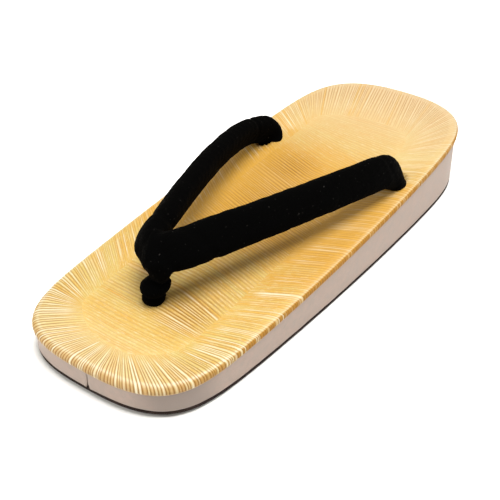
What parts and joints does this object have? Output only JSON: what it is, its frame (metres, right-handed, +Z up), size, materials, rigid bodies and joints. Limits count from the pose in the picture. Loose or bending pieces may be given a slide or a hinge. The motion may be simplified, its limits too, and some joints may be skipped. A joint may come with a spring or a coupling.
{
  "type": "setta sandal",
  "caption": "Flat Japanese thong sandal with a low wedge sole, a glossy woven-look footbed and padded black velvet straps on a toe post.",
  "frame": {"origin": "on the floor under the middle of the sole's outline", "axes": "+X along the sandal to the toe, +Y to the wearer's left, +Z up"},
  "size_m": [0.265, 0.102, 0.0514],
  "materials": {
    "outsole": "matt dark brown rubber sheet",
    "midsole": "matt sponge wedge",
    "side_wrap": "satin beige-grey vinyl tape",
    "top_mat": "glossy golden vinyl with woven strips",
    "strap": "black velvet",
    "toe_loop": "black velvet"
  },
  "bodies": {
    "root": {"outsole": "outsole", "midsole": "midsole", "side_wrap": "side_wrap", "top_mat": "top_mat", "strap": "strap", "toe_loop": "toe_loop"}
  },
  "joints": []
}
